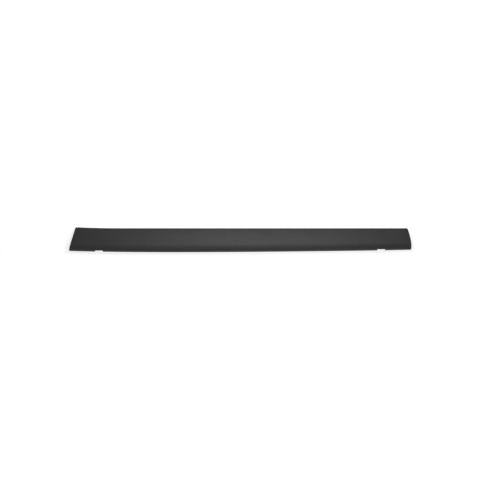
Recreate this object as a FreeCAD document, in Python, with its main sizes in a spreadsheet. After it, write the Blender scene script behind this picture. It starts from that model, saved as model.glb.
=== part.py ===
import FreeCAD, Part
import math
import os
import Sketcher

# Rocker panel moulding
# A long plastic cover for the sill of a car, between the wheel arches, moulded in one piece. It lies
# on its back: X runs along the car from the raked end to the curved end, Y is up on the car and Z
# points outboard. The rims that meet the body all lie in the plane Z = 0. Sizes are in millimetres.
#
# The outside is a block lofted through cross sections, cut to its outline and rounded along its rim.
# A second block, drawn in by the wall, less the blanks of the seats and gussets, is the core that is
# taken out of it. So the seats and gussets grow from the wall, as they do in the mould.

SIZES = {
    # Outline, seen from the side of the car
    "part_length": 1740.0,
    "part_height": 122.4,
    "end_rake": 33.6,
    "edge_flare": 5.0,
    "flare_reach": 210.0,
    "low_point": 470.0,
    "raked_rise": 6.5,
    "curved_rise": 12.6,
    "curved_radius": 340.0,
    # Section through the sill
    "top_depth": 24.0,
    "low_depth": 67.6,
    "face_radius": 900.0,
    "crown_drop": 8.0,
    "roll_radius": 32.0,
    "rim_radius": 4.0,
    "corner_radius": 6.0,
    "seam_lift": 14.0,
    "wall": 2.8,
    # Clip seats behind the upper edge
    "seat_count": 7,
    "seat_pitch": 245.0,
    "seat_fall": 25.7,
    "seat_length": 26.0,
    "seat_width": 24.0,
    "seat_wall": 2.0,
    "seat_plate": 2.5,
    "seat_lift": 4.0,
    "seat_slot": 9.0,
    # Screw holes and slots in the lower flange
    "fixing_count": 6,
    "fixing_pitch": 245.0,
    "fixing_lift": 9.0,
    "fixing_bore": 8.5,
    "fixing_travel": 7.5,
    # Gussets in the corner of the lower flange
    "gusset_wall": 1.7,
    "gusset_reach": 45.7,
    "gusset_lift": 7.0,
    "gusset_lean": 43.0,
    "fixing_gusset_gap": 18.0,
    "notch_gusset_gap": 8.0,
    # Jacking notches in the lower edge
    "notch_spread": 1434.0,
    "notch_width": 41.0,
    "notch_depth": 5.6,
    "notch_corner": 1.6,
    # How far cutters and trimmed blanks run past what they meet
    "spare": 30.0,
}

NODE = "rocker_moulding"
# Two faces make a sharp edge where they meet at more than this angle, in degrees
SHARP_ANGLE = 8.0
# Edges of the rim are those that reach further out than this
RIM_FOOT = 0.5
# Steps taken along the three stretches of a cross section
FACE_STEPS = 4
ROLL_STEPS = 6
FLANGE_STEPS = 3
SECTION_STEPS = (FACE_STEPS, ROLL_STEPS, FLANGE_STEPS)
# Outside, the roll and the flange are one surface, so that the rounded rim crosses a single seam
OUTER_SURFACES = (FACE_STEPS, ROLL_STEPS + FLANGE_STEPS)
# Turns a sketch so that its axes are up and outboard
ACROSS = FreeCAD.Rotation(FreeCAD.Vector(1, 1, 1), 120)

doc = FreeCAD.newDocument("RockerMoulding")
sheet = doc.addObject("Spreadsheet::Sheet", "Sizes")
for row, (alias, size) in enumerate(SIZES.items(), start=1):
    sheet.set(f"A{row}", alias.replace("_", " "))
    sheet.set(f"B{row}", str(size))
    sheet.setAlias(f"B{row}", alias)
doc.recompute()

# Places that several features share, as expressions of the sheet
RAKED_TIP = "(-Sizes.part_length / 2)"
CURVED_TIP = "(Sizes.part_length / 2)"
LOW_LINE = "(-(Sizes.part_height + Sizes.edge_flare) / 2)"
TOP_LINE = "((Sizes.part_height - Sizes.edge_flare) / 2)"
BEYOND = "(Sizes.part_length / 2 + 2 * Sizes.spare)"
TALL = "(Sizes.low_depth + Sizes.spare)"
ABOVE = f"({TOP_LINE} + Sizes.spare)"
BEHIND = "(-Sizes.spare)"
SEAT_LINE = f"({TOP_LINE} - Sizes.seat_fall)"
NO_INSET = "0"
WALL_INSET = "Sizes.wall"


def evaluate(expression):
    """Give the present value of an expression of the sheet."""
    return float(sheet.evalExpression(expression))


def rise_at(place):
    """How far the lower edge has risen above its lowest point, at a place along the length."""
    from_low = f"(({place}) - {RAKED_TIP} - Sizes.low_point)"
    if evaluate(from_low) < 0:
        return f"(Sizes.raked_rise * ({from_low} / Sizes.low_point)^2)"
    return f"(Sizes.curved_rise * ({from_low} / (Sizes.part_length - Sizes.low_point))^2)"


def new_body(name):
    body = doc.addObject("PartDesign::Body", name)
    body.AllowCompound = True
    return body


def origin_feature(body, role):
    return next(feature for feature in body.Origin.OriginFeatures if feature.Role == role)


def new_sketch(body, name, plane, offset=None):
    """A sketch on one of the body's origin planes, moved along that plane's normal by an expression."""
    sketch = body.newObject("Sketcher::SketchObject", name)
    sketch.AttachmentSupport = (origin_feature(body, plane), [""])
    sketch.MapMode = "FlatFace"
    if offset is not None:
        sketch.setExpression("AttachmentOffset.Base.z", offset)
    return sketch


def bind(sketch, kind, geometry, expression):
    """Add one dimension to a sketch and tie it to an expression of the sheet."""
    index = sketch.addConstraint(Sketcher.Constraint(kind, *geometry, evaluate(expression)))
    sketch.setExpression(f"Constraints[{index}]", expression)


def bind_point(sketch, edge, end, across, along):
    """Fix a point of an edge by its two distances from the sketch's origin."""
    bind(sketch, "DistanceX", (-1, 1, edge, end), across)
    bind(sketch, "DistanceY", (-1, 1, edge, end), along)


def arc_between(centre, start, end):
    """The arc that runs anticlockwise about a centre from one point to another."""
    first = math.atan2(start.y - centre.y, start.x - centre.x)
    last = math.atan2(end.y - centre.y, end.x - centre.x)
    circle = Part.Circle(centre, FreeCAD.Vector(0, 0, 1), (start - centre).Length)
    return Part.ArcOfCircle(circle, first, last)


def closed_loop(sketch, corners, arcs=None):
    """Draw a closed loop through corners given as expressions.

    An entry of arcs replaces the line that leaves that corner: it gives the centre, and whether the
    arc runs anticlockwise.
    """
    arcs = arcs or {}
    spots = [FreeCAD.Vector(evaluate(across), evaluate(along), 0) for across, along in corners]
    edges = []
    for place, spot in enumerate(spots):
        following = spots[(place + 1) % len(spots)]
        if place not in arcs:
            edges.append((sketch.addGeometry(Part.LineSegment(spot, following), False), 1, 2))
            continue
        across, along, anticlockwise = arcs[place]
        centre = FreeCAD.Vector(evaluate(across), evaluate(along), 0)
        if anticlockwise:
            edges.append((sketch.addGeometry(arc_between(centre, spot, following), False), 1, 2))
        else:
            edges.append((sketch.addGeometry(arc_between(centre, following, spot), False), 2, 1))
    for place, (edge, start, end) in enumerate(edges):
        following, following_start, _ = edges[(place + 1) % len(edges)]
        sketch.addConstraint(Sketcher.Constraint("Coincident", edge, end, following, following_start))
        bind_point(sketch, edge, start, *corners[place])
        if place in arcs:
            bind(sketch, "DistanceX", (-1, 1, edge, 3), arcs[place][0])


def add_pad(body, name, sketch, length, centred=False):
    pad = body.newObject("PartDesign::Pad", name)
    pad.Profile = sketch
    pad.Midplane = centred
    pad.setExpression("Length", length)
    return pad


def add_row(body, name, originals, count, pitch):
    """Repeat features along the length at an even pitch."""
    row_of = body.newObject("PartDesign::LinearPattern", name)
    row_of.Originals = originals
    row_of.Direction = (origin_feature(body, "X_Axis"), [""])
    row_of.setExpression("Length", f"({count} - 1) * {pitch}")
    row_of.setExpression("Occurrences", count)
    body.Tip = row_of
    return row_of


def sharp_edges(shape, above):
    """Name the edges above a height where two faces meet at a clear angle."""
    names = []
    for number, edge in enumerate(shape.Edges, start=1):
        middle = edge.valueAt((edge.FirstParameter + edge.LastParameter) / 2)
        normals = []
        for face in shape.ancestorsOfType(edge, Part.Face):
            u, v = face.Surface.parameter(middle)
            normals.append(face.normalAt(u, v))
        turn = math.degrees(normals[0].getAngle(normals[-1]))
        if turn > SHARP_ANGLE and middle.z > above:
            names.append(f"Edge{number}")
    return names


# Places along the length that the skin's cross sections stand at
STATIONS = (
    ("PastRaked", f"(-{BEYOND})"),
    ("LowPoint", f"({RAKED_TIP} + Sizes.low_point)"),
    ("Middle", "0"),
    ("Quarter", f"({CURVED_TIP} / 2)"),
    ("PastCurved", BEYOND),
)


def draw_section(name, place, inset):
    """The outside of one cross section: bowed face, roll and lower flange, each tangent to the next.

    In this sketch the first direction is up on the car and the second is outboard.
    """
    sketch = doc.addObject("Sketcher::SketchObject", name)
    sketch.Placement = FreeCAD.Placement(FreeCAD.Vector(), ACROSS)
    sketch.setExpression("Placement.Base.x", place)
    drop = f"(Sizes.crown_drop * ({place} / {CURVED_TIP})^2)"
    # The face is an arc through the upper corner and the corner that the roll takes away
    lean = "(Sizes.low_depth - Sizes.top_depth)"
    stretch = f"sqrt(Sizes.face_radius^2 / (Sizes.part_height^2 + {lean}^2) - 0.25)"
    centre_up = f"(({LOW_LINE} + {TOP_LINE}) / 2 - {lean} * {stretch})"
    centre_out = f"((Sizes.low_depth + Sizes.top_depth) / 2 - Sizes.part_height * {stretch} - {drop})"
    low = f"({LOW_LINE} + {rise_at(place)} + {inset})"
    face_radius = f"(Sizes.face_radius - {inset})"
    roll_radius = f"(Sizes.roll_radius - {inset})"

    centre = FreeCAD.Vector(evaluate(centre_up), evaluate(centre_out), 0)
    radius = evaluate(face_radius)
    roll = evaluate(roll_radius)
    upper = FreeCAD.Vector(evaluate(ABOVE), 0, 0)
    upper.y = centre.y + math.sqrt(radius**2 - (upper.x - centre.x)**2)
    roll_centre = FreeCAD.Vector(evaluate(low) + roll, 0, 0)
    roll_centre.y = centre.y + math.sqrt((radius - roll)**2 - (roll_centre.x - centre.x)**2)
    crest = centre + (roll_centre - centre) * (radius / (radius - roll))
    turned = roll_centre - FreeCAD.Vector(roll, 0, 0)
    foot = FreeCAD.Vector(turned.x, evaluate(BEHIND), 0)

    face = sketch.addGeometry(arc_between(centre, upper, crest), False)
    bend = sketch.addGeometry(arc_between(roll_centre, crest, turned), False)
    flange = sketch.addGeometry(Part.LineSegment(turned, foot), False)
    sketch.addConstraint(Sketcher.Constraint("Tangent", face, 2, bend, 1))
    sketch.addConstraint(Sketcher.Constraint("Tangent", bend, 2, flange, 1))
    sketch.addConstraint(Sketcher.Constraint("Vertical", flange))
    bind(sketch, "Radius", (face,), face_radius)
    bind(sketch, "Radius", (bend,), roll_radius)
    bind_point(sketch, face, 3, centre_up, centre_out)
    bind(sketch, "DistanceX", (-1, 1, face, 1), ABOVE)
    bind_point(sketch, flange, 2, low, BEHIND)
    return sketch


def points_along(sketch):
    """Points at even steps along the stretches of a cross section, in the document's frame."""
    points = []
    for stretch, steps in zip(sketch.Geometry, SECTION_STEPS):
        span = stretch.LastParameter - stretch.FirstParameter
        for step in range(steps):
            points.append(stretch.value(stretch.FirstParameter + span * step / steps))
    points.append(stretch.value(stretch.LastParameter))
    return [sketch.Placement.multVec(point) for point in points]


def smooth_outline(points, parameters, surfaces):
    """Close a cross section behind one smooth curve through its points, split where a surface ends."""
    outside = Part.BSplineCurve()
    outside.interpolate(Points=points, Parameters=parameters)
    edges = []
    first = 0
    for steps in surfaces:
        stretch = outside.copy()
        stretch.segment(parameters[first], parameters[first + steps])
        edges.append(stretch.toShape())
        first += steps
    corner = FreeCAD.Vector(points[0].x, points[0].y, points[-1].z)
    return Part.Wire(edges + [Part.makeLine(points[-1], corner), Part.makeLine(corner, points[0])])


def draw_skin(name, inset, surfaces):
    """A long solid whose face runs into its roll and flange with no change of curvature at the seam."""
    sections = [draw_section(name + station, place, inset) for station, place in STATIONS]
    doc.recompute()
    rows = [points_along(section) for section in sections]
    # All sections share one set of parameters, so that the surface between them stays light and even
    parameters = [0.0]
    for point, following in zip(rows[0], rows[0][1:]):
        parameters.append(parameters[-1] + point.distanceToPoint(following))
    skin = doc.addObject("Part::Feature", name + "Skin")
    outlines = [smooth_outline(points, parameters, surfaces) for points in rows]
    skin.Shape = Part.makeLoft(outlines, True, False)
    return skin


def stands_at_top(edge):
    """Tell whether an edge runs straight out from the back at the upper side."""
    box = edge.BoundBox
    return box.ZLength > box.XLength + box.YLength and box.YMin > 0


def cut_away(body, name, outline):
    """Cut an outline right through a body, both ways from the outline's plane."""
    pocket = body.newObject("PartDesign::Pocket", name)
    pocket.Profile = outline
    pocket.Type = "ThroughAll"
    pocket.Midplane = True
    body.Tip = pocket
    doc.recompute()


def build_form(name, inset, surfaces):
    """A solid block with the moulding's outer shape, drawn in by the inset and reaching behind the rims."""
    body = new_body(name)
    body.BaseFeature = draw_skin(name, inset, surfaces)
    doc.recompute()
    # The upper edge: straight, then an arc that lifts it towards the raked end
    flare_root = f"({RAKED_TIP} + Sizes.end_rake + Sizes.flare_reach)"
    flare_radius = f"((Sizes.flare_reach^2 / Sizes.edge_flare + Sizes.edge_flare) / 2 + {inset})"
    flare_centre = f"({TOP_LINE} - {inset} + {flare_radius})"
    flare_end = f"({flare_centre} - sqrt({flare_radius}^2 - ({flare_root} + {BEYOND})^2))"
    above = "Sizes.part_height"
    upper = new_sketch(body, name + "UpperOutline", "XY_Plane")
    closed_loop(upper, ((BEYOND, f"({TOP_LINE} - {inset})"), (BEYOND, above), (f"(-{BEYOND})", above),
                        (f"(-{BEYOND})", flare_end), (flare_root, f"({TOP_LINE} - {inset})")),
                {3: (flare_root, flare_centre, True)})
    cut_away(body, name + "UpperEdge", upper)

    # The raked end: a plane that leans back towards the upper edge
    low_corner = f"({LOW_LINE} + Sizes.raked_rise)"
    end_height = "(Sizes.part_height + Sizes.edge_flare - Sizes.raked_rise)"
    slant_inset = f"({inset} * sqrt(1 + (Sizes.end_rake / {end_height})^2))"
    below = "(-Sizes.part_height)"
    raked_low = f"({RAKED_TIP} + {slant_inset} + Sizes.end_rake * ({below} - {low_corner}) / {end_height})"
    raked_high = f"({RAKED_TIP} + {slant_inset} + Sizes.end_rake * ({above} - {low_corner}) / {end_height})"
    raked = new_sketch(body, name + "RakedOutline", "XY_Plane")
    closed_loop(raked, ((raked_low, below), (raked_high, above), ("-Sizes.part_length", above),
                        ("-Sizes.part_length", below)))
    cut_away(body, name + "RakedEnd", raked)

    # The curved end: an arc that stands upright at the lower edge
    centre_along = f"({CURVED_TIP} - Sizes.curved_radius)"
    centre_up = f"({LOW_LINE} + Sizes.curved_rise)"
    radius = f"(Sizes.curved_radius - {inset})"
    arc_low = f"({centre_along} + sqrt({radius}^2 - ({below} - {centre_up})^2))"
    arc_high = f"({centre_along} + sqrt({radius}^2 - ({above} - {centre_up})^2))"
    curved = new_sketch(body, name + "CurvedOutline", "XY_Plane")
    closed_loop(curved, ((arc_low, below), (arc_high, above), ("Sizes.part_length", above),
                         ("Sizes.part_length", below)), {0: (centre_along, centre_up, True)})
    cut_away(body, name + "CurvedEnd", curved)
    return body


def finish_outside(body):
    """Trim the back to the plane of the rims, round the upper corners in plan, then the whole outer rim."""
    back = new_sketch(body, body.Name + "BackOutline", "XZ_Plane")
    closed_loop(back, ((f"(-{BEYOND})", "0"), (BEYOND, "0"), (BEYOND, f"2 * {BEHIND}"),
                       (f"(-{BEYOND})", f"2 * {BEHIND}")))
    cut_away(body, body.Name + "Back", back)
    block = body.Tip
    corners = body.newObject("PartDesign::Fillet", body.Name + "Corners")
    corners.Base = (block, [name for name in sharp_edges(block.Shape, above=RIM_FOOT)
                            if stands_at_top(block.Shape.getElement(name))])
    corners.setExpression("Radius", "Sizes.corner_radius")
    doc.recompute()
    rim = body.newObject("PartDesign::Fillet", body.Name + "Rim")
    rim.Base = (corners, sharp_edges(corners.Shape, above=RIM_FOOT))
    rim.setExpression("Radius", "Sizes.rim_radius")
    body.Tip = rim
    doc.recompute()


def build_seats():
    """A row of raised clip seats, each a plate on three walls with a slot that opens to one side."""
    body = new_body("ClipSeats")
    middle = "(-(Sizes.seat_count - 1) / 2 * Sizes.seat_pitch)"
    closed_side = f"({middle} - Sizes.seat_length / 2)"
    open_side = f"({middle} + Sizes.seat_length / 2)"
    lower = f"({SEAT_LINE} - Sizes.seat_width / 2)"
    upper = f"({SEAT_LINE} + Sizes.seat_width / 2)"
    slot_lower = f"({SEAT_LINE} - Sizes.seat_slot / 2)"
    slot_upper = f"({SEAT_LINE} + Sizes.seat_slot / 2)"
    plate_sketch = new_sketch(body, "SeatPlateOutline", "XY_Plane", "Sizes.seat_lift")
    plate_corners = ((open_side, slot_upper), (open_side, upper), (closed_side, upper), (closed_side, lower),
                     (open_side, lower), (open_side, slot_lower), (middle, slot_lower), (middle, slot_upper))
    closed_loop(plate_sketch, plate_corners, {6: (middle, SEAT_LINE, False)})
    plate = add_pad(body, "SeatPlate", plate_sketch, "Sizes.seat_plate")

    inner_side = f"({closed_side} + Sizes.seat_wall)"
    inner_lower = f"({lower} + Sizes.seat_wall)"
    inner_upper = f"({upper} - Sizes.seat_wall)"
    walls_sketch = new_sketch(body, "SeatWallsOutline", "XY_Plane", "Sizes.seat_lift")
    closed_loop(walls_sketch, ((open_side, lower), (closed_side, lower), (closed_side, upper),
                               (open_side, upper), (open_side, inner_upper), (inner_side, inner_upper),
                               (inner_side, inner_lower), (open_side, inner_lower)))
    walls = add_pad(body, "SeatWalls", walls_sketch, TALL)
    doc.recompute()
    add_row(body, "SeatRow", [plate, walls], "Sizes.seat_count", "Sizes.seat_pitch")
    return body


def build_gussets(name, first, count, pitch):
    """A row of thin gussets that stand across the corner between the lower flange and the face."""
    body = new_body(name)
    outside = f"({LOW_LINE} - Sizes.spare)"
    inner_edge = f"({LOW_LINE} + Sizes.gusset_reach)"
    upper_end = "(Sizes.gusset_lift + Sizes.gusset_lean)"
    sketch = new_sketch(body, name + "Outline", "YZ_Plane", first)
    closed_loop(sketch, ((outside, "Sizes.gusset_lift"), (f"({LOW_LINE} + Sizes.wall)", "Sizes.gusset_lift"),
                         (inner_edge, upper_end), (inner_edge, TALL), (outside, TALL)))
    plate = add_pad(body, name + "Plate", sketch, "Sizes.gusset_wall", centred=True)
    doc.recompute()
    add_row(body, name + "Row", [plate], count, pitch)
    return body


def build_cutters():
    """What is cut through the lower flange: screw holes, screw slots and the jacking notches."""
    body = new_body("FlangeCutters")
    holes = new_sketch(body, "FixingOutlines", "XZ_Plane", f"-{LOW_LINE}")
    half_count = int(evaluate("Sizes.fixing_count")) // 2
    half_bore = "(Sizes.fixing_bore / 2)"
    fixing_low = f"(Sizes.fixing_lift - {half_bore})"
    fixing_high = f"(Sizes.fixing_lift + {half_bore})"
    for side in (-1, 1):
        # The pair beside the middle is round and locates the moulding, and the others let it grow
        place = f"({side} * Sizes.fixing_pitch / 2)"
        circle = Part.Circle(FreeCAD.Vector(evaluate(place), evaluate("Sizes.fixing_lift"), 0),
                             FreeCAD.Vector(0, 0, 1), evaluate(half_bore))
        hole = holes.addGeometry(circle, False)
        bind_point(holes, hole, 3, place, "Sizes.fixing_lift")
        bind(holes, "Radius", (hole,), half_bore)
        for step in range(1, half_count):
            place = f"({side} * Sizes.fixing_pitch * {step + 0.5})"
            near = f"({place} - Sizes.fixing_travel / 2)"
            far = f"({place} + Sizes.fixing_travel / 2)"
            closed_loop(holes, ((near, fixing_low), (far, fixing_low),
                                (far, fixing_high), (near, fixing_high)),
                        {1: (far, "Sizes.fixing_lift", True), 3: (near, "Sizes.fixing_lift", True)})
    add_pad(body, "Fixings", holes, "2 * (Sizes.curved_rise + Sizes.wall)", centred=True)

    notches = new_sketch(body, "NotchOutlines", "XY_Plane", "-Sizes.spare")
    for side in (-1, 1):
        middle = f"({side} * Sizes.notch_spread / 2)"
        left = f"({middle} - Sizes.notch_width / 2)"
        right = f"({middle} + Sizes.notch_width / 2)"
        outside = f"({LOW_LINE} - Sizes.spare)"
        roof = f"({LOW_LINE} + {rise_at(middle)} + Sizes.notch_depth)"
        shoulder = f"({roof} - Sizes.notch_corner)"
        left_turn = f"({left} + Sizes.notch_corner)"
        right_turn = f"({right} - Sizes.notch_corner)"
        closed_loop(notches, ((left, outside), (right, outside), (right, shoulder), (right_turn, roof),
                              (left_turn, roof), (left, shoulder)),
                    {2: (right_turn, shoulder, True), 4: (left_turn, shoulder, True)})
    cut = add_pad(body, "Notches", notches, f"{TALL} + Sizes.spare")
    body.Tip = cut
    doc.recompute()
    return body


def part_at_seam(form):
    """Lay a level seam round the walls, so that the long narrow surfaces below it stand by themselves."""
    below = doc.addObject("Part::Box", "BelowSeam")
    below.setExpression("Length", f"2 * {BEYOND}")
    below.setExpression("Width", "2 * Sizes.part_height")
    below.setExpression("Height", "Sizes.seam_lift")
    below.setExpression("Placement.Base.x", f"-{BEYOND}")
    below.setExpression("Placement.Base.y", "-Sizes.part_height")
    face_side = combine("Part::Cut", "FaceSide", (form, below))
    wall_side = combine("Part::Common", "WallSide", (form, below))
    return combine("Part::MultiFuse", "SeamedForm", [face_side, wall_side])


def combine(kind, name, parts):
    """A boolean of document objects that keeps every seam."""
    result = doc.addObject(kind, name)
    result.Refine = False
    if kind == "Part::MultiFuse":
        result.Shapes = parts
    else:
        result.Base, result.Tool = parts
    doc.recompute()
    return result


outer_form = build_form("OuterForm", NO_INSET, OUTER_SURFACES)
finish_outside(outer_form)
seamed_form = part_at_seam(outer_form)
hollow_form = build_form("HollowForm", WALL_INSET, SECTION_STEPS)
seats = build_seats()
first_fixing = "(-(Sizes.fixing_count - 1) / 2 * Sizes.fixing_pitch)"
notch_side = "(Sizes.notch_width / 2 + Sizes.notch_gusset_gap)"
gusset_rows = (
    ("FixingGussetsA", f"({first_fixing} - Sizes.fixing_gusset_gap)", "Sizes.fixing_count",
     "Sizes.fixing_pitch"),
    ("FixingGussetsB", f"({first_fixing} + Sizes.fixing_gusset_gap)", "Sizes.fixing_count",
     "Sizes.fixing_pitch"),
    ("MiddleGussets", f"({first_fixing} + Sizes.fixing_pitch / 2)", "(Sizes.fixing_count - 1)",
     "Sizes.fixing_pitch"),
    ("NotchGussetsA", f"(-Sizes.notch_spread / 2 - {notch_side})", "2", "Sizes.notch_spread"),
    ("NotchGussetsB", f"(-Sizes.notch_spread / 2 + {notch_side})", "2", "Sizes.notch_spread"),
)
gussets = [build_gussets(*gusset_row) for gusset_row in gusset_rows]

# The seats and gussets are slots in the core that leaves the hollow behind the face
blanks = combine("Part::MultiFuse", "RibBlanks", [seats] + gussets)
core = combine("Part::Cut", "Core", (hollow_form, blanks))
shell = combine("Part::Cut", "RibbedShell", (seamed_form, core))
moulding = combine("Part::Cut", "Moulding", (shell, build_cutters()))
moulding.Label = NODE
moulding.Placement = FreeCAD.Placement()
doc.recompute()

for item in doc.Objects:
    if "Invalid" in item.State or "Error" in item.State:
        raise RuntimeError(f"{item.Name} could not be rebuilt")
if moulding.Shape.isNull() or not moulding.Shape.isValid() or len(moulding.Shape.Solids) != 1:
    raise RuntimeError("the moulding is not one valid solid")

os.makedirs("parts", exist_ok=True)
moulding.Shape.exportStep(f"parts/{moulding.Label}.step")
print(moulding.Label, "volume", round(moulding.Shape.Volume), "faces", len(moulding.Shape.Faces))
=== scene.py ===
# %% [markdown]
# # Rocker panel moulding
#
# This is a long cover for the sill of a car, moulded in one piece from dark grey plastic. In the
# photograph it lies on its back on white, and the camera looks straight down at its face. The scene
# loads the finished solid, gives it a visible skin with the two finishes that the mould leaves, and
# lights it as in a plain studio.

# %% Load the frame
import math

import bpy
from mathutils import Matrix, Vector


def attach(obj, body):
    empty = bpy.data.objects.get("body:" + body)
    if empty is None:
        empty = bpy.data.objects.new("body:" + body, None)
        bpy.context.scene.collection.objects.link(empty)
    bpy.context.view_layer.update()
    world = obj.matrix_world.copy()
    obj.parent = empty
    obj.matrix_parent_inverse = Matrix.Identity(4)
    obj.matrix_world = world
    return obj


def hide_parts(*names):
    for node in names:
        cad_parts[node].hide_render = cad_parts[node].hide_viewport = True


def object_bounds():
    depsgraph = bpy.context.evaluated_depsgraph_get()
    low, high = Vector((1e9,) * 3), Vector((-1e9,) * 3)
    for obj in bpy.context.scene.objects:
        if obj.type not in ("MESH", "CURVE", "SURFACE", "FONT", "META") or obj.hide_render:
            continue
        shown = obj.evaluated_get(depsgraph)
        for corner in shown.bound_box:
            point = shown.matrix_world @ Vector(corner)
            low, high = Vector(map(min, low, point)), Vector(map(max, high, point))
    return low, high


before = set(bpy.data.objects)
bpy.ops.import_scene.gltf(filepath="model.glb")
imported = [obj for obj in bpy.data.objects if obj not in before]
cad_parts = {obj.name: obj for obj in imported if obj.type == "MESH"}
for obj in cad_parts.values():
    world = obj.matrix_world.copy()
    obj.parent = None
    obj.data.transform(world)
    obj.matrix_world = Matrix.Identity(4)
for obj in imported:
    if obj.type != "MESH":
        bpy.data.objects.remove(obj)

NODE = "rocker_moulding"
cad_low, cad_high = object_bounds()
cad_size = cad_high - cad_low
print("CAD box in millimetres:", [round(side * 1000, 1) for side in cad_size])

# %% [markdown]
# ## The moulded skin
#
# The real object has one skin. The solid's mesh is right in shape, but its triangles are loose, so
# every one of them would catch the light as a flat facet. It could be drawn again by hand, which
# would only copy the same curves less well. So the skin starts as a copy of that mesh. Its corners
# are merged, and the places where two faces meet at a small angle are shaded as one smooth surface,
# while the rims and ribs keep their edges.

# %% Copy the solid's mesh and merge its corners
MERGE_GAP = 0.000002
SMOOTH_LIMIT = math.radians(32)


def only(piece):
    """Select one object and nothing else, so that an operator can't reach the others."""
    bpy.ops.object.select_all(action="DESELECT")
    piece.select_set(True)
    bpy.context.view_layer.objects.active = piece


skin = bpy.data.objects.new("moulded_skin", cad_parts[NODE].data.copy())
bpy.context.scene.collection.objects.link(skin)
skin.data.materials.clear()
only(skin)
corners_before = len(skin.data.vertices)
bpy.ops.object.mode_set(mode="EDIT")
bpy.ops.mesh.select_all(action="SELECT")
bpy.ops.mesh.remove_doubles(threshold=MERGE_GAP)
bpy.ops.mesh.customdata_custom_splitnormals_clear()
bpy.ops.object.mode_set(mode="OBJECT")
bpy.ops.object.shade_smooth_by_angle(angle=SMOOTH_LIMIT)
print("corners before and after the merge:", corners_before, len(skin.data.vertices))

# %% [markdown]
# ## Which faces are the outside
#
# The mould's cavity is grained, and its core is only tooled smooth. So the outside and the back need
# a finish each. The outside is everything that can be reached from the middle of the face without
# crossing a sharp edge, and that is what the operator for linked flat faces finds.

# %% Mark the outside
FACE_SLOT, BACK_SLOT = 0, 1
start = max(skin.data.polygons, key=lambda face: face.center.z).index
only(skin)
bpy.ops.object.mode_set(mode="EDIT")
bpy.ops.mesh.select_mode(type="FACE")
bpy.ops.mesh.select_all(action="DESELECT")
bpy.ops.object.mode_set(mode="OBJECT")
skin.data.polygons[start].select = True
bpy.ops.object.mode_set(mode="EDIT")
bpy.ops.mesh.faces_select_linked_flat(sharpness=SMOOTH_LIMIT)
bpy.ops.object.mode_set(mode="OBJECT")
for face in skin.data.polygons:
    face.material_index = FACE_SLOT if face.select else BACK_SLOT
outside_area = sum(face.area for face in skin.data.polygons if face.select)
print("outside, in square decimetres:", round(outside_area * 100, 1))

# %% [markdown]
# ## Tools for the finishes
#
# A finish is a chain of nodes. These small helpers add a node, set its inputs and join it to others,
# so that each finish below reads as one line per effect. All patterns read Object coordinates, in
# metres, so they keep their real scale and don't slide.

# %% Helpers: add a node, set it and join it
def place(tree, kind, **settings):
    """Add a node to a tree and set what is named."""
    node = tree.nodes.new(kind)
    for name, value in settings.items():
        setattr(node, name, value)
    return node


def set_inputs(node, **values):
    """Set a node's inputs by name, with _ for each space."""
    for name, value in values.items():
        node.inputs[name.replace("_", " ")].default_value = value
    return node


def join(tree, term, socket):
    """Give an input its value: the term is another node's output or a number."""
    if isinstance(term, (int, float)):
        socket.default_value = term
    else:
        tree.links.new(term, socket)


print("helpers for any node:", [helper.__name__ for helper in (place, set_inputs, join)])


# %% Helpers: coordinates, arithmetic and noise
def object_place(tree):
    """The place of each point on the object, in metres."""
    return place(tree, "ShaderNodeTexCoord").outputs["Object"]


def calculate(tree, operation, *terms):
    """Add a Math node; each term is an output or a number."""
    node = place(tree, "ShaderNodeMath", operation=operation)
    for term, socket in zip(terms, node.inputs):
        join(tree, term, socket)
    return node.outputs[0]


def add_noise(tree, where, scale, **settings):
    """Add a Noise texture that reads a place; the scale is an output or a number."""
    noise = set_inputs(place(tree, "ShaderNodeTexNoise"), **settings)
    join(tree, where, noise.inputs["Vector"])
    join(tree, scale, noise.inputs["Scale"])
    return noise


print("helpers for patterns:", [helper.__name__ for helper in (object_place, calculate, add_noise)])

# %% [markdown]
# A pattern that both finishes use is built once, as a group with named inputs and outputs, and each
# finish places it with its own values. In this version of Blender the sockets of a group belong to
# its interface.

# %% Helper: start a node group
def new_group(name, inputs, outputs):
    """Start a node group with number inputs and number outputs."""
    group = bpy.data.node_groups.new(name, "ShaderNodeTree")
    for label, value in inputs.items():
        socket = group.interface.new_socket(label, in_out="INPUT", socket_type="NodeSocketFloat")
        socket.default_value = value
    for label in outputs:
        group.interface.new_socket(label, in_out="OUTPUT", socket_type="NodeSocketFloat")
    return group, place(group, "NodeGroupInput"), place(group, "NodeGroupOutput")


print("node groups before the first one:", len(bpy.data.node_groups))

# %% [markdown]
# ### The grain
#
# A sill moulding has an etched grain on its face: rounded islands about a millimetre wide with
# narrow valleys between them, and finer sand over both. It hides scratches and keeps the plastic
# matt. Plain Voronoi distance gives cones, which look like a file. The distance to a cell's edge
# gives flat islands and valleys, once it is cut off with a smooth step, and a little noise in the
# coordinates makes the cells uneven, as etching does.

# %% Group: etched grain
FACE_CELLS_PER_METRE = 800.0
SAND_SHARE = 0.3
UNEVENNESS = 0.0006
ISLAND_EDGE = 0.28
SAND_PER_CELL = 3.7


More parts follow.
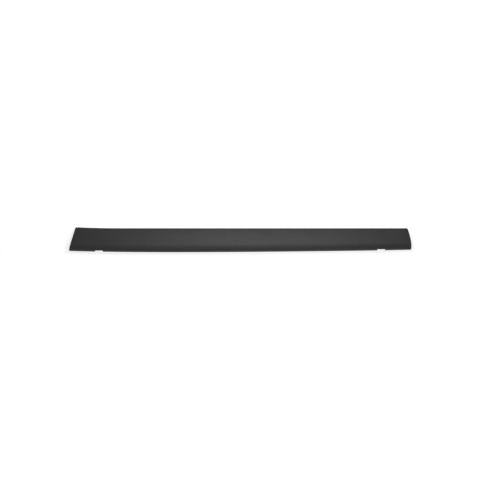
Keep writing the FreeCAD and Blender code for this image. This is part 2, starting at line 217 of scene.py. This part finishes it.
def build_grain():
    """The height of islands, valleys and sand, and a mask of the valleys alone."""
    inputs = {"Cells per metre": FACE_CELLS_PER_METRE, "Sand": SAND_SHARE}
    group, given, result = new_group("EtchedGrain", inputs, ("Height", "Valley"))
    cells_per_metre = given.outputs["Cells per metre"]
    where = object_place(group)
    uneven = add_noise(group, where, cells_per_metre, Detail=1.0)
    nudge = place(group, "ShaderNodeVectorMath", operation="SCALE")
    join(group, uneven.outputs["Color"], nudge.inputs[0])
    join(group, UNEVENNESS, nudge.inputs["Scale"])
    shifted = place(group, "ShaderNodeVectorMath", operation="ADD")
    join(group, where, shifted.inputs[0])
    join(group, nudge.outputs[0], shifted.inputs[1])

    cells = place(group, "ShaderNodeTexVoronoi", feature="DISTANCE_TO_EDGE")
    join(group, shifted.outputs[0], cells.inputs["Vector"])
    join(group, cells_per_metre, cells.inputs["Scale"])
    island = place(group, "ShaderNodeMapRange", interpolation_type="SMOOTHSTEP")
    set_inputs(island, From_Min=0.0, From_Max=ISLAND_EDGE)
    join(group, cells.outputs["Distance"], island.inputs["Value"])

    sand_scale = calculate(group, "MULTIPLY", cells_per_metre, SAND_PER_CELL)
    sand = add_noise(group, where, sand_scale, Detail=2.0, Roughness=0.6).outputs["Fac"]
    height = calculate(group, "MULTIPLY_ADD", sand, given.outputs["Sand"], island.outputs["Result"])
    join(group, height, result.inputs["Height"])
    valley = calculate(group, "SUBTRACT", 1.0, island.outputs["Result"])
    join(group, valley, result.inputs["Valley"])
    return group


etched_grain = build_grain()
print("groups so far:", [group.name for group in bpy.data.node_groups])

# %% [markdown]
# ### Streaks along the length
#
# Several effects run along the moulding, because both the melt and the toolmaker's stone did. Noise
# stretched along X draws them all: broad for the flow of the melt, and fine for the polish of the
# steel.

# %% Group: streaks along the length
FLOW_LENGTH = 0.30
FLOW_WIDTH = 0.03


def build_streaks():
    """Noise drawn out along X, as long and as wide as its two inputs say."""
    inputs = {"Streak length": FLOW_LENGTH, "Streak width": FLOW_WIDTH}
    group, given, result = new_group("LongStreaks", inputs, ("Streaks",))
    split = place(group, "ShaderNodeSeparateXYZ")
    join(group, object_place(group), split.inputs[0])
    stretched = place(group, "ShaderNodeCombineXYZ")
    for axis, size in (("X", "Streak length"), ("Y", "Streak width"), ("Z", "Streak width")):
        shrunk = calculate(group, "DIVIDE", split.outputs[axis], given.outputs[size])
        join(group, shrunk, stretched.inputs[axis])
    noise = add_noise(group, stretched.outputs[0], 1.0, Detail=3.0, Roughness=0.55)
    join(group, noise.outputs["Fac"], result.inputs["Streaks"])
    return group


long_streaks = build_streaks()
print("sockets of the streaks:", [socket.name for socket in long_streaks.interface.items_tree])

# %% [markdown]
# ### The drift of tone
#
# No moulding is one flat grey. Its tone drifts by a few percent: in long streaks where the melt ran,
# in broad clouds where it cooled at another rate, and in a mottle of about a centimetre that only
# shows close up.

# %% Group: tone drift
CLOUDS_PER_METRE = 7.0
MOTTLE_PER_METRE = 110.0


def build_drift():
    """The average of three noises: streaks, clouds and mottle."""
    group, _, result = new_group("ToneDrift", {}, ("Drift",))
    where = object_place(group)
    noises = [place(group, "ShaderNodeGroup", node_tree=long_streaks).outputs["Streaks"]]
    for scale in (CLOUDS_PER_METRE, MOTTLE_PER_METRE):
        noises.append(add_noise(group, where, scale, Detail=2.0).outputs["Fac"])
    total = noises[0]
    for noise in noises[1:]:
        total = calculate(group, "ADD", total, noise)
    average = calculate(group, "DIVIDE", total, float(len(noises)))
    join(group, average, result.inputs["Drift"])
    return group


tone_drift = build_drift()
print("groups so far:", [group.name for group in bpy.data.node_groups])

# %% [markdown]
# ### The ejector marks
#
# The pins that push a moulding off its core leave a row of shallow round marks on the back, each
# with a sharp rim. They could be cut into the mesh, but they are only a tenth of a millimetre deep,
# which a bump shows as well. The row repeats along X: the distance to the nearest pin's axis tells
# what lies under a pin.

# %% Under an ejector pin
PIN_PITCH = 0.1225
PIN_LINE = 0.004
PIN_RADIUS = 0.004
PIN_EDGE = 0.0002


def pin_marks(tree):
    """One on the round ends of the ejector pins, nought elsewhere."""
    split = place(tree, "ShaderNodeSeparateXYZ")
    join(tree, object_place(tree), split.inputs[0])
    along = calculate(tree, "PINGPONG", split.outputs["X"], PIN_PITCH / 2)
    from_pin = calculate(tree, "SUBTRACT", PIN_PITCH / 2, along)
    from_line = calculate(tree, "SUBTRACT", split.outputs["Y"], PIN_LINE)
    pin_square = calculate(tree, "POWER", from_pin, 2.0)
    line_square = calculate(tree, "POWER", from_line, 2.0)
    from_axis = calculate(tree, "SQRT", calculate(tree, "ADD", pin_square, line_square))
    mark = place(tree, "ShaderNodeMapRange", interpolation_type="SMOOTHSTEP")
    set_inputs(mark, From_Min=PIN_RADIUS, From_Max=PIN_RADIUS - PIN_EDGE)
    join(tree, from_axis, mark.inputs["Value"])
    return mark.outputs["Result"]


print("ejector pins along the length:", int(cad_size.x / PIN_PITCH))

# %% [markdown]
# ## The two finishes
#
# Both finishes are the same grey plastic. The face is grained and matt. The back is as the core's
# steel left it: smoother, a little shinier, with a trace of texture, fine polish lines and the marks
# of the pins. A relief is built up in millimetres, one effect on the other.

# %% Relief of the back
POLISH_LENGTH = 0.05
POLISH_WIDTH = 0.0005
POLISH_DEPTH = 0.06
PIN_DEPTH = 0.12


def back_relief(tree, relief):
    """Add the polish lines and the ejector marks to a relief in millimetres."""
    lines = place(tree, "ShaderNodeGroup", node_tree=long_streaks)
    set_inputs(lines, Streak_length=POLISH_LENGTH, Streak_width=POLISH_WIDTH)
    relief = calculate(tree, "MULTIPLY_ADD", lines.outputs["Streaks"], POLISH_DEPTH, relief)
    return calculate(tree, "MULTIPLY_ADD", pin_marks(tree), -PIN_DEPTH, relief)


print("polish lines and pin marks are deep, in millimetres:", POLISH_DEPTH, PIN_DEPTH)

# %% [markdown]
# The drift moves the colour and the roughness together. The valleys of the grain get painted shade:
# their colour is darker than the islands', as if shade fell in them. What is the same all over, such
# as the strength of the shine, is set on the shader's own socket.

# %% Make a finish
MILLIMETRE = 0.001
MIDDLE_OF_DRIFT = 0.5


def make_finish(name, grey, drift_range, roughness, roughness_range, shine, cells, grain_depth,
                valley_painted_shade, more_relief=None):
    """A moulded plastic finish: its tone with painted shade in the grain's valleys, its gloss, and
    the depth of its relief in millimetres.
    """
    material = bpy.data.materials.new(name)
    material.use_nodes = True
    tree = material.node_tree
    shader = set_inputs(tree.nodes["Principled BSDF"], Specular_IOR_Level=shine)

    drift = place(tree, "ShaderNodeGroup", node_tree=tone_drift)
    swing = calculate(tree, "SUBTRACT", drift.outputs["Drift"], MIDDLE_OF_DRIFT)
    grain = place(tree, "ShaderNodeGroup", node_tree=etched_grain)
    set_inputs(grain, Cells_per_metre=cells)

    tone = calculate(tree, "MULTIPLY_ADD", swing, drift_range, grey)
    # Painted shade: the base colour is darkened in the grain's valleys, where shade would fall.
    shade = calculate(tree, "MULTIPLY_ADD", grain.outputs["Valley"], -valley_painted_shade, 1.0)
    shaded = calculate(tree, "MULTIPLY", tone, shade)
    colour = place(tree, "ShaderNodeCombineColor")
    for socket in colour.inputs:
        join(tree, shaded, socket)
    join(tree, colour.outputs[0], shader.inputs["Base Color"])

    gloss = calculate(tree, "MULTIPLY_ADD", swing, roughness_range, roughness)
    join(tree, gloss, shader.inputs["Roughness"])

    relief = calculate(tree, "MULTIPLY", grain.outputs["Height"], grain_depth)
    if more_relief is not None:
        relief = more_relief(tree, relief)
    bump = set_inputs(place(tree, "ShaderNodeBump"), Strength=1.0, Distance=MILLIMETRE)
    join(tree, relief, bump.inputs["Height"])
    join(tree, bump.outputs["Normal"], shader.inputs["Normal"])
    return material


grained_face = make_finish(
    "grained_face", grey=0.042, drift_range=0.018, roughness=0.50, roughness_range=0.24,
    shine=0.24, cells=FACE_CELLS_PER_METRE, grain_depth=0.07, valley_painted_shade=0.25)
tooled_back = make_finish(
    "tooled_back", grey=0.039, drift_range=0.018, roughness=0.42, roughness_range=0.24,
    shine=0.3, cells=2600.0, grain_depth=0.006, valley_painted_shade=0.1, more_relief=back_relief)
for finish in (grained_face, tooled_back):
    skin.data.materials.append(finish)
print("finishes:", [finish.name for finish in skin.data.materials])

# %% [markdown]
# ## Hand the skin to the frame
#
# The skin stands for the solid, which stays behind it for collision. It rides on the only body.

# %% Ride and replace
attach(skin, "root")
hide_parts(NODE)
print(skin.name, "stands for", NODE, "with", len(skin.data.polygons), "faces")

# %% [markdown]
# ## The floor
#
# The photograph's ground is pure white. A floor that is only painted white would need so much light
# that the plastic would wash out. So the floor is pale for the light that bounces, and where the
# camera or a reflection sees it, it also glows a little, just enough to reach white outside the
# object's own soft shadow.

# %% Floor
FLOOR_HALF = 6.0
FLOOR_GAP = 0.0002
bpy.ops.object.select_all(action="DESELECT")
bpy.ops.mesh.primitive_plane_add(size=2 * FLOOR_HALF, location=(0, 0, cad_low.z - FLOOR_GAP))
floor = bpy.context.active_object
floor.name = "floor"
bpy.ops.object.transform_apply(location=True, rotation=True, scale=True)
print("floor height in millimetres:", round(floor.data.vertices[0].co.z * 1000, 2))

# %% [markdown]
# Far from the object the lamps hardly reach the floor, so there the glow rises until floor and
# background are one white. The object is long and narrow, so lengths along X count half.

# %% The floor's glow
GLOW_NEAR, GLOW_FAR = 0.80, 0.97
NEAR_REACH, FAR_REACH = 0.3, 1.2
SQUEEZE = (0.5, 1, 0)


def floor_glow(tree):
    """The floor's glow, from its value beside the object to its value far away."""
    squeezed = place(tree, "ShaderNodeVectorMath", operation="MULTIPLY")
    join(tree, object_place(tree), squeezed.inputs[0])
    squeezed.inputs[1].default_value = SQUEEZE
    reach = place(tree, "ShaderNodeVectorMath", operation="LENGTH")
    join(tree, squeezed.outputs["Vector"], reach.inputs[0])
    rise = place(tree, "ShaderNodeMapRange", interpolation_type="SMOOTHSTEP")
    set_inputs(rise, From_Min=NEAR_REACH, From_Max=FAR_REACH, To_Min=GLOW_NEAR, To_Max=GLOW_FAR)
    join(tree, reach.outputs["Value"], rise.inputs["Value"])
    return rise.outputs["Result"]


print("the glow rises by", round(GLOW_FAR - GLOW_NEAR, 2), "of white over its reach")

# %% [markdown]
# Under the cover no lamp reaches the floor, and a hole or a notch must look dark, not lit from
# within. Ambient occlusion tells how much open sky a point of the floor sees, whatever the outline
# of the object, so the glow ends where that share is nearly nought. Right beside the walls half the
# sky is open, and there it stays.

# %% No glow under the cover
SKY_REACH = 0.3
SKY_SAMPLES = 16
COVERED, OPEN = 0.04, 0.20


def open_sky(tree):
    """Nought where the moulding hides the sky from the floor, and one where the floor lies open."""
    sky = place(tree, "ShaderNodeAmbientOcclusion", samples=SKY_SAMPLES)
    set_inputs(sky, Distance=SKY_REACH)
    edge = place(tree, "ShaderNodeMapRange", interpolation_type="SMOOTHSTEP")
    set_inputs(edge, From_Min=COVERED, From_Max=OPEN)
    join(tree, sky.outputs["AO"], edge.inputs["Value"])
    return edge.outputs["Result"]


print("the sky counts as hidden under a share of", COVERED, "and as open over", OPEN)

# %% [markdown]
# The glow must reach the eye and the mirror reflections, but not the plastic: otherwise the floor
# would light the object from below. The kind of ray tells the two apart.

# %% Where a surface is seen directly
def seen_directly(tree):
    """One for the camera, a reflection or a look through glass, and nought for bounced light."""
    path = place(tree, "ShaderNodeLightPath")
    glossy, clear = path.outputs["Is Glossy Ray"], path.outputs["Is Transmission Ray"]
    return calculate(tree, "MAXIMUM", path.outputs["Is Camera Ray"],
                     calculate(tree, "MAXIMUM", glossy, clear))


print("helper for floor and room:", seen_directly.__name__)

# %% Paper of the floor
FLOOR_PALE = 0.75
PAPER_ROUGHNESS = 0.9
paper = bpy.data.materials.new("studio_paper")
paper.use_nodes = True
paper_tree = paper.node_tree
paper_shader = paper_tree.nodes["Principled BSDF"]
set_inputs(paper_shader, Base_Color=(FLOOR_PALE, FLOOR_PALE, FLOOR_PALE, 1),
           Roughness=PAPER_ROUGHNESS, Specular_IOR_Level=0.0, Emission_Color=(1, 1, 1, 1))
open_glow = calculate(paper_tree, "MULTIPLY", floor_glow(paper_tree), open_sky(paper_tree))
glow = calculate(paper_tree, "MULTIPLY", seen_directly(paper_tree), open_glow)
join(paper_tree, glow, paper_shader.inputs["Emission Strength"])
floor.data.materials.append(paper)
print("floor material:", floor.data.materials[0].name)

# %% [markdown]
# ## The light
#
# In the photograph the face is lightest near its middle and falls to about half towards the ends,
# and the roll along the lower edge gets darker as it turns away from the upper side. A long soft box
# does both: it hangs on the upper side, near enough for its light to fall off along the length, and
# steep enough to light the face evenly from its upper edge down to the roll. A second box, four
# times weaker, hangs on the lower side, so that the roll darkens slowly.

# %% Two soft boxes
BOX_LENGTH = 1.2
MIDDLE_OF_LIGHT = 0.10


def hang_box(name, across, height, width, watts):
    """A soft box along the moulding, aimed at it square to its length."""
    stand = Vector((MIDDLE_OF_LIGHT, across, height))
    bpy.ops.object.light_add(type="AREA", location=stand)
    box = bpy.context.active_object
    box.name = name
    box.data.shape = "RECTANGLE"
    box.data.size = BOX_LENGTH
    box.data.size_y = width
    box.data.energy = watts
    aim = Vector((MIDDLE_OF_LIGHT, 0, 0)) - stand
    box.rotation_euler = aim.to_track_quat("-Z", "Y").to_euler()
    return box


main_box = hang_box("main_box", across=0.50, height=0.90, width=0.35, watts=8.3)
fill_box = hang_box("fill_box", across=-0.45, height=1.10, width=0.30, watts=2.0)
for box in (main_box, fill_box):
    print(box.name, "stands", round(box.location.length, 2), "metres from the middle")

# %% [markdown]
# A dim white room lights what the boxes leave dark. It is pure white only where it is seen directly,
# so it makes a white background without washing out the plastic.

# %% Room
ROOM_FILL = 0.05
room = bpy.data.worlds.new("room")
bpy.context.scene.world = room
room.use_nodes = True
room_tree = room.node_tree
room_light = set_inputs(room_tree.nodes["Background"], Color=(1, 1, 1, 1))
strength = calculate(room_tree, "MULTIPLY_ADD", seen_directly(room_tree), 1 - ROOM_FILL, ROOM_FILL)
join(room_tree, strength, room_light.inputs["Strength"])
bpy.context.scene.view_settings.view_transform = "Standard"
print("view transform:", bpy.context.scene.view_settings.view_transform)

# %% [markdown]
# ## The camera
#
# The photograph is taken from far off and straight on. A long lens high above the floor does that:
# the picture is 480 pixels wide, the moulding fills about 342 of them, and its middle stands a
# quarter of a pixel off centre.

# %% Camera
PICTURE_SIDE = 480
METRES_PER_PIXEL = 0.005076
MIDDLE_PIXEL = Vector((240.0, 239.75))
LENS = 120.0
FARTHEST_SEEN = 50.0
camera_data = bpy.data.cameras.new("camera")
camera = bpy.data.objects.new("camera", camera_data)
bpy.context.scene.collection.objects.link(camera)
camera_data.lens = LENS
camera_data.clip_end = FARTHEST_SEEN
field = PICTURE_SIDE * METRES_PER_PIXEL
distance = field * LENS / camera_data.sensor_width
off_centre = (Vector((PICTURE_SIDE, PICTURE_SIDE)) / 2 - MIDDLE_PIXEL) * METRES_PER_PIXEL
camera.location = (off_centre.x, -off_centre.y, cad_size.z / 2 + distance)
camera.rotation_euler = (0, 0, 0)
bpy.context.scene.camera = camera
print("camera height in metres:", round(camera.location.z, 3))
